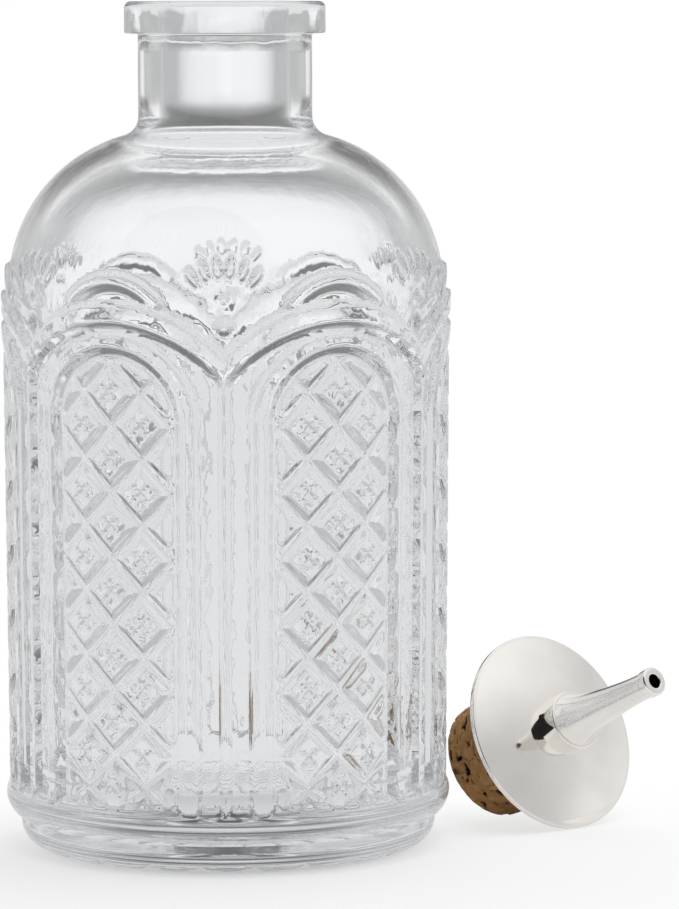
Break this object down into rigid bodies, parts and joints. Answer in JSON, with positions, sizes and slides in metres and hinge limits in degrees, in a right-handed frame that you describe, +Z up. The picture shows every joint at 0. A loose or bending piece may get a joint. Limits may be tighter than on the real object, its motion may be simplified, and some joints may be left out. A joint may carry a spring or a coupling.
{
  "type": "bitters bottle",
  "caption": "Pressed-glass bottle with arched diamond panels and a short neck, with a cork dasher top lying beside it.",
  "frame": {"origin": "centre of the bottle's underside, on the surface that it stands on", "axes": "+Z up along the bottle's axis and out of its mouth; a column between two arched panels faces -Y, two panels face +X and -X, and the dasher top lies towards +X"},
  "size_m": [0.0913, 0.0618, 0.1159],
  "materials": {
    "clear_glass": "polished pressed glass",
    "natural_cork": "matt natural cork with dark pits",
    "polished_metal": "polished"
  },
  "bodies": {
    "bottle": {"bottle": "clear_glass"},
    "dasher": {"cork_stopper": "natural_cork", "cap_disc": "polished_metal", "pour_spout": "polished_metal", "stem_tube": "polished_metal"}
  },
  "joints": [
    {"name": "dasher_lift", "type": "slide", "parent": "bottle", "child": "dasher", "axis": [0, 0, 1], "range_m": [0, 0.13]}
  ]
}
